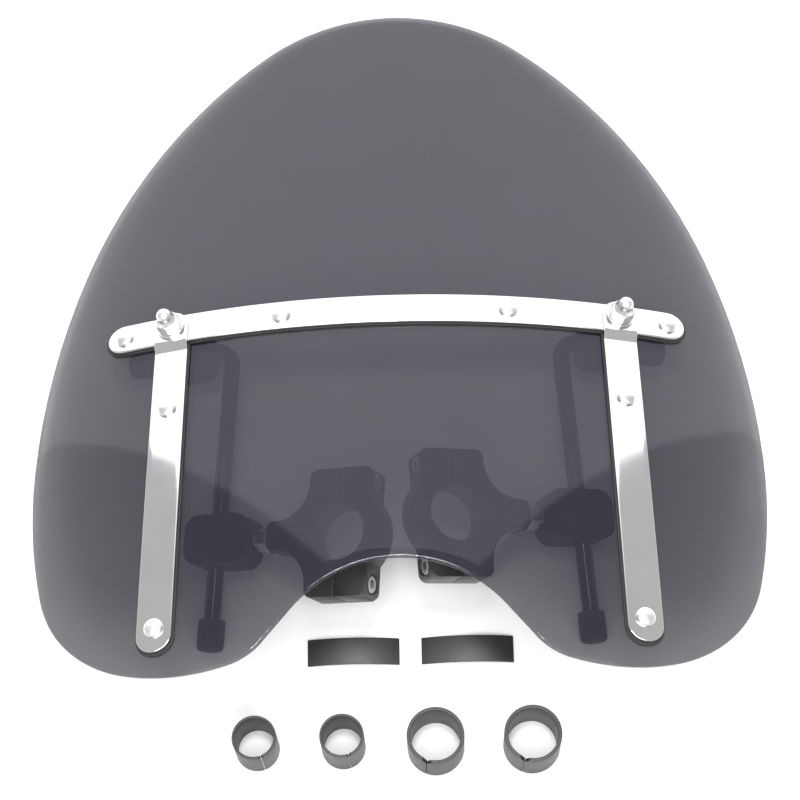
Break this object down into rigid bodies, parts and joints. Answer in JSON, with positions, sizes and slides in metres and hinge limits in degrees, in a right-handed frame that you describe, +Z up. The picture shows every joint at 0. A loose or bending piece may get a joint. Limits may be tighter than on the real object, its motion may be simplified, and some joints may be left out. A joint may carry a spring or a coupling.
{
  "type": "motorcycle windshield screen",
  "caption": "Bowed smoked windshield on polished straps, held by swivelling bent rods with split handlebar clamps, with loose sleeves and strips that adapt the clamps to thinner bars.",
  "frame": {"origin": "bottom centre of the bounding box, on the ground that the object lies on", "axes": "+X to the right as seen from the front of the screen, +Y towards the top edge of the screen, +Z up out of the convex front face"},
  "size_m": [0.4356, 0.523, 0.0883],
  "materials": {
    "smoked_screen": "gloss",
    "polished_strap": "polished",
    "rubber_black": "matt",
    "bright_steel": "polished",
    "plated_steel": "plated",
    "black_casting": "satin",
    "black_steel": "black oxide",
    "black_rod": "gloss",
    "black_plastic": "satin",
    "nylon": "matt",
    "adapter_rubber": "matt"
  },
  "bodies": {
    "screen_frame": {"screen": "smoked_screen", "cross_strap": "polished_strap", "left_strap": "polished_strap", "right_strap": "polished_strap", "cross_gasket": "rubber_black", "left_gasket": "rubber_black", "right_gasket": "rubber_black", "strap_bolts": "bright_steel", "strap_washers": "rubber_black", "strap_nuts": "plated_steel", "acorn_nuts": "bright_steel", "acorn_washers": "plated_steel", "mount_seals": "rubber_black", "mount_washers": "plated_steel"},
    "left_mount": {"left_upper_knuckle": "black_casting", "left_mount_stud": "plated_steel", "left_upper_screw": "black_steel"},
    "left_leg": {"left_rod": "black_rod", "left_upper_cap": "rubber_black", "left_lower_cap": "rubber_black"},
    "left_bush": {"left_liner": "nylon"},
    "left_knuckle": {"left_lower_knuckle": "black_casting", "left_lower_screw": "black_steel"},
    "left_clamp": {"left_clamp_stud": "plated_steel", "left_jam_nut": "plated_steel", "left_clamp_body": "black_plastic", "left_clamp_nuts": "plated_steel"},
    "left_jaw": {"left_clamp_cap": "black_plastic", "left_clamp_screws": "plated_steel"},
    "right_mount": {"right_upper_knuckle": "black_casting", "right_mount_stud": "plated_steel", "right_upper_screw": "black_steel"},
    "right_leg": {"right_rod": "black_rod", "right_upper_cap": "rubber_black", "right_lower_cap": "rubber_black"},
    "right_bush": {"right_liner": "nylon"},
    "right_knuckle": {"right_lower_knuckle": "black_casting", "right_lower_screw": "black_steel"},
    "right_clamp": {"right_clamp_stud": "plated_steel", "right_jam_nut": "plated_steel", "right_clamp_body": "black_plastic", "right_clamp_nuts": "plated_steel"},
    "right_jaw": {"right_clamp_cap": "black_plastic", "right_clamp_screws": "plated_steel"},
    "left_large_sleeve_loose": {"left_large_sleeve": "adapter_rubber"},
    "right_large_sleeve_loose": {"right_large_sleeve": "adapter_rubber"},
    "left_small_sleeve_loose": {"left_small_sleeve": "adapter_rubber"},
    "right_small_sleeve_loose": {"right_small_sleeve": "adapter_rubber"},
    "left_strip_loose": {"left_strip": "adapter_rubber"},
    "right_strip_loose": {"right_strip": "adapter_rubber"}
  },
  "joints": [
    {"name": "left_mount_swivel", "type": "hinge", "parent": "screen_frame", "child": "left_mount", "pos_m": [-0.13154, 0.00087, 0.03394], "axis": [0.2468, -0.1764, -0.9529], "range_deg": [0, 20]},
    {"name": "left_leg_tilt", "type": "hinge", "parent": "left_mount", "child": "left_leg", "pos_m": [-0.12907, -0.00384, 0.02496], "axis": [0.9691, 0.0449, 0.2427], "range_deg": [0, 70]},
    {"name": "left_height_slide", "type": "slide", "parent": "left_leg", "child": "left_bush", "axis": [-0.0675, -0.9904, -0.1206], "range_m": [-0.008, 0.028]},
    {"name": "left_knuckle_turn", "type": "hinge", "parent": "left_bush", "child": "left_knuckle", "pos_m": [-0.10794, -0.12331, 0.01759], "axis": [0.0675, 0.9904, 0.1206], "range_deg": [0, 100]},
    {"name": "left_clamp_roll", "type": "hinge", "parent": "left_knuckle", "child": "left_clamp", "pos_m": [-0.07142, -0.12771, 0.03329], "axis": [-0.9132, 0.11, -0.3924], "range_deg": [0, 12]},
    {"name": "left_jaw_open", "type": "slide", "parent": "left_clamp", "child": "left_jaw", "axis": [0.9132, -0.11, 0.3924], "range_m": [0, 0.0025]},
    {"name": "right_mount_swivel", "type": "hinge", "parent": "screen_frame", "child": "right_mount", "pos_m": [0.13154, 0.00087, 0.03394], "axis": [0.2468, 0.1764, 0.9529], "range_deg": [0, 20]},
    {"name": "right_leg_tilt", "type": "hinge", "parent": "right_mount", "child": "right_leg", "pos_m": [0.12907, -0.00384, 0.02496], "axis": [0.9691, -0.0449, -0.2427], "range_deg": [0, 70]},
    {"name": "right_height_slide", "type": "slide", "parent": "right_leg", "child": "right_bush", "axis": [0.0675, -0.9904, -0.1206], "range_m": [-0.008, 0.038]},
    {"name": "right_knuckle_turn", "type": "hinge", "parent": "right_bush", "child": "right_knuckle", "pos_m": [0.10727, -0.11341, 0.0188], "axis": [0.0675, -0.9904, -0.1206], "range_deg": [0, 100]},
    {"name": "right_clamp_roll", "type": "hinge", "parent": "right_knuckle", "child": "right_clamp", "pos_m": [0.07074, -0.11781, 0.03449], "axis": [-0.9132, -0.11, 0.3924], "range_deg": [0, 12]},
    {"name": "right_jaw_open", "type": "slide", "parent": "right_clamp", "child": "right_jaw", "axis": [-0.9132, -0.11, 0.3924], "range_m": [0, 0.0025]},
    {"name": "left_large_sleeve_lift", "type": "slide", "parent": "screen_frame", "child": "left_large_sleeve_loose", "axis": [0, 0, 1], "range_m": [0, 0.08]},
    {"name": "right_large_sleeve_lift", "type": "slide", "parent": "screen_frame", "child": "right_large_sleeve_loose", "axis": [0, 0, 1], "range_m": [0, 0.08]},
    {"name": "left_small_sleeve_lift", "type": "slide", "parent": "screen_frame", "child": "left_small_sleeve_loose", "axis": [0, 0, 1], "range_m": [0, 0.08]},
    {"name": "right_small_sleeve_lift", "type": "slide", "parent": "screen_frame", "child": "right_small_sleeve_loose", "axis": [0, 0, 1], "range_m": [0, 0.08]},
    {"name": "left_strip_lift", "type": "slide", "parent": "screen_frame", "child": "left_strip_loose", "axis": [0, 0, 1], "range_m": [0, 0.04]},
    {"name": "right_strip_lift", "type": "slide", "parent": "screen_frame", "child": "right_strip_loose", "axis": [0, 0, 1], "range_m": [0, 0.04]}
  ]
}
